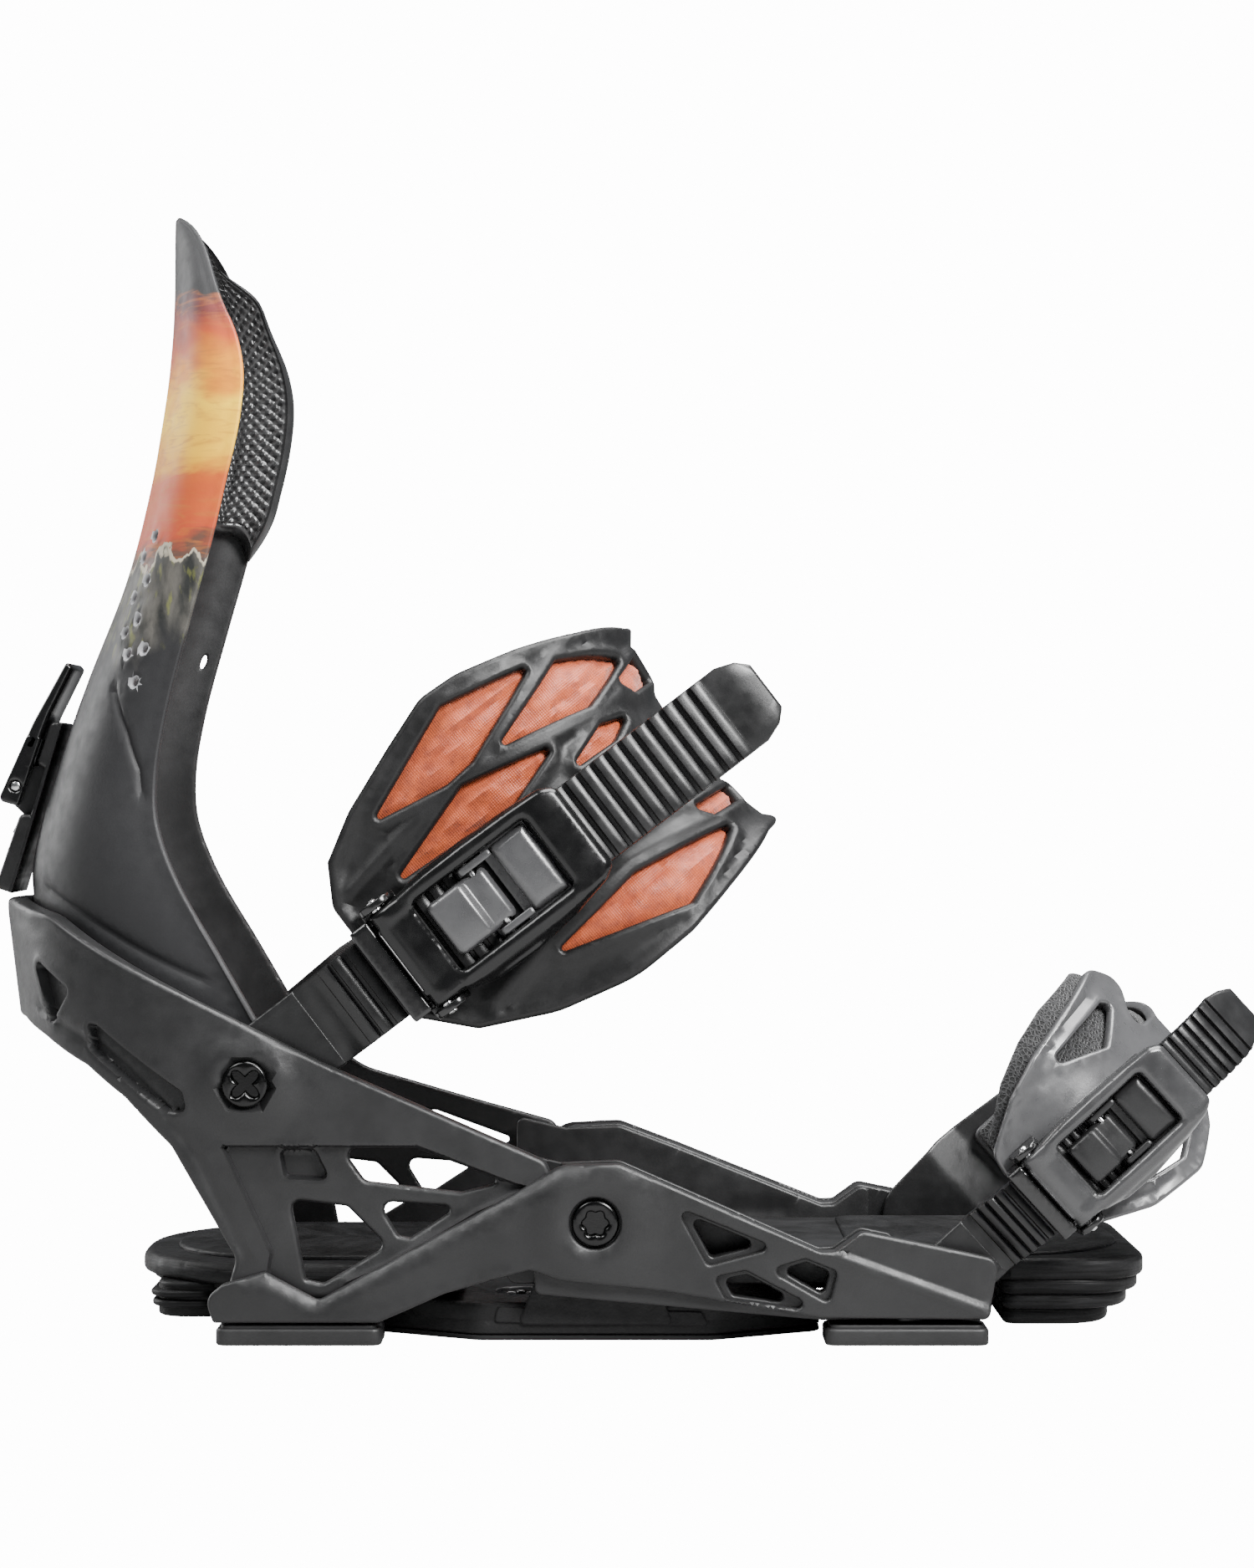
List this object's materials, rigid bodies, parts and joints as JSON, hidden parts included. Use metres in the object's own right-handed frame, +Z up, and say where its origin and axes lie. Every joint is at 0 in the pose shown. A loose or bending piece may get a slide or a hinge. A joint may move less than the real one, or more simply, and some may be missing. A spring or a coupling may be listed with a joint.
{
  "type": "strap snowboard binding",
  "caption": "Strap-in snowboard binding for a right foot: rocking frame on a bolted disc base, heel cup, tall highback, and padded ankle and toe straps with ratchet buckles.",
  "frame": {"origin": "centre of the mounting disc's underside, on the board", "axes": "+X towards the toe, -Y the lateral side with the buckles, +Z up from the board"},
  "size_m": [0.3294, 0.127, 0.2928],
  "materials": {
    "nylon": "satin moulded glass-filled nylon",
    "gloss_nylon": "semi-gloss moulded nylon",
    "highback_print": "satin moulded nylon with a printed upper part",
    "rubber": "matt rubber",
    "foam": "matt moulded foam",
    "strap_shell": "matt soft polymer",
    "strap_liner": "padded textile",
    "toe_shell": "satin soft plastic",
    "mesh_liner": "mesh",
    "release": "satin plastic",
    "black_steel": "black coated steel",
    "steel": "bright steel"
  },
  "bodies": {
    "base": {"base_plate": "nylon", "base_gasket": "foam", "mounting_disc": "gloss_nylon", "disc_screw_1": "steel", "disc_screw_2": "steel", "disc_screw_3": "steel", "disc_screw_4": "steel", "kingpin_lateral": "black_steel", "kingpin_medial": "black_steel"},
    "hanger": {"chassis": "nylon", "heel_cup": "nylon", "ankle_bolt_lateral": "black_steel", "ankle_bolt_medial": "black_steel", "ankle_nut_lateral": "black_steel", "ankle_nut_medial": "black_steel", "toe_bolt_lateral": "black_steel", "toe_bolt_medial": "black_steel", "heel_footbed": "foam", "toe_ramp": "foam", "bushing_heel_lateral": "rubber", "bushing_heel_medial": "rubber", "bushing_toe_lateral": "rubber", "bushing_toe_medial": "rubber"},
    "back": {"highback": "highback_print", "highback_pad": "rubber"},
    "lean_slider": {"lean_block": "nylon", "lean_pin": "steel"},
    "lean_latch": {"lean_lever": "nylon"},
    "ankle_ends": {"ankle_ladder": "rubber", "ankle_connector": "nylon"},
    "ankle_strap": {"ankle_strap_shell": "strap_shell", "ankle_strap_liner": "strap_liner", "ankle_connector_screw": "black_steel", "ankle_buckle_base": "gloss_nylon", "ankle_buckle_pin": "steel", "ankle_release_pin": "steel"},
    "ankle_lever": {"ankle_buckle_lever": "gloss_nylon"},
    "ankle_pawl": {"ankle_drive_pawl": "steel"},
    "ankle_release": {"ankle_release_lever": "release"},
    "toe_ends": {"toe_ladder": "rubber", "toe_connector": "nylon"},
    "toe_strap": {"toe_strap_shell": "toe_shell", "toe_strap_liner": "mesh_liner", "toe_connector_screw": "black_steel", "toe_buckle_base": "gloss_nylon", "toe_buckle_pin": "steel", "toe_release_pin": "steel"},
    "toe_lever": {"toe_buckle_lever": "gloss_nylon"},
    "toe_pawl": {"toe_drive_pawl": "steel"},
    "toe_release": {"toe_release_lever": "release"}
  },
  "joints": [
    {"name": "hanger_rock", "type": "hinge", "parent": "base", "child": "hanger", "pos_m": [0, 0, 0.031], "axis": [0, 1, 0], "range_deg": [-1.2, 1.2], "stiffness_Nm_per_rad": 300},
    {"name": "highback_fold", "type": "hinge", "parent": "hanger", "child": "back", "pos_m": [-0.0885, 0, 0.066], "axis": [0, 1, 0], "range_deg": [0, 20]},
    {"name": "lean_slide", "type": "slide", "parent": "back", "child": "lean_slider", "axis": [0.2857, 0, 0.9583], "range_m": [0, 0.012]},
    {"name": "lean_lever_open", "type": "hinge", "parent": "lean_slider", "child": "lean_latch", "pos_m": [-0.1547, 0, 0.14128], "axis": [0, -1, 0], "range_deg": [0, 80]},
    {"name": "ankle_strap_swing", "type": "hinge", "parent": "hanger", "child": "ankle_ends", "pos_m": [-0.0885, 0, 0.066], "axis": [0, -1, 0], "range_deg": [-5, 12]},
    {"name": "ankle_take_up", "type": "slide", "parent": "ankle_ends", "child": "ankle_strap", "axis": [0.7944, 0, 0.6074], "range_m": [-0.0044, 0.0132]},
    {"name": "ankle_lever_open", "type": "hinge", "parent": "ankle_strap", "child": "ankle_lever", "pos_m": [-0.046, -0.0626, 0.09849], "axis": [0.6074, 0, -0.7944], "range_deg": [0, 90]},
    {"name": "ankle_pawl_lift", "type": "hinge", "parent": "ankle_lever", "child": "ankle_pawl", "pos_m": [-0.046, -0.0626, 0.09849], "axis": [0.6074, 0, -0.7944], "range_deg": [0, 15], "stiffness_Nm_per_rad": 0.05},
    {"name": "ankle_release_lift", "type": "hinge", "parent": "ankle_strap", "child": "ankle_release", "pos_m": [-0.02654, -0.0616, 0.11338], "axis": [-0.6074, 0, 0.7944], "range_deg": [0, 9], "stiffness_Nm_per_rad": 0.1},
    {"name": "toe_strap_swing", "type": "hinge", "parent": "hanger", "child": "toe_ends", "pos_m": [0.088, 0, 0.014], "axis": [0, -1, 0], "range_deg": [-3, 25]},
    {"name": "toe_take_up", "type": "slide", "parent": "toe_ends", "child": "toe_strap", "axis": [0.7373, 0, 0.6756], "range_m": [-0.0027, 0.0081]},
    {"name": "toe_lever_open", "type": "hinge", "parent": "toe_strap", "child": "toe_lever", "pos_m": [0.11646, -0.06152, 0.04008], "axis": [0.6756, 0, -0.7373], "range_deg": [0, 90]},
    {"name": "toe_pawl_lift", "type": "hinge", "parent": "toe_lever", "child": "toe_pawl", "pos_m": [0.11646, -0.06152, 0.04008], "axis": [0.6756, 0, -0.7373], "range_deg": [0, 15], "stiffness_Nm_per_rad": 0.05},
    {"name": "toe_release_lift", "type": "hinge", "parent": "toe_strap", "child": "toe_release", "pos_m": [0.13091, -0.06072, 0.05332], "axis": [-0.6756, 0, 0.7373], "range_deg": [0, 9], "stiffness_Nm_per_rad": 0.1}
  ]
}
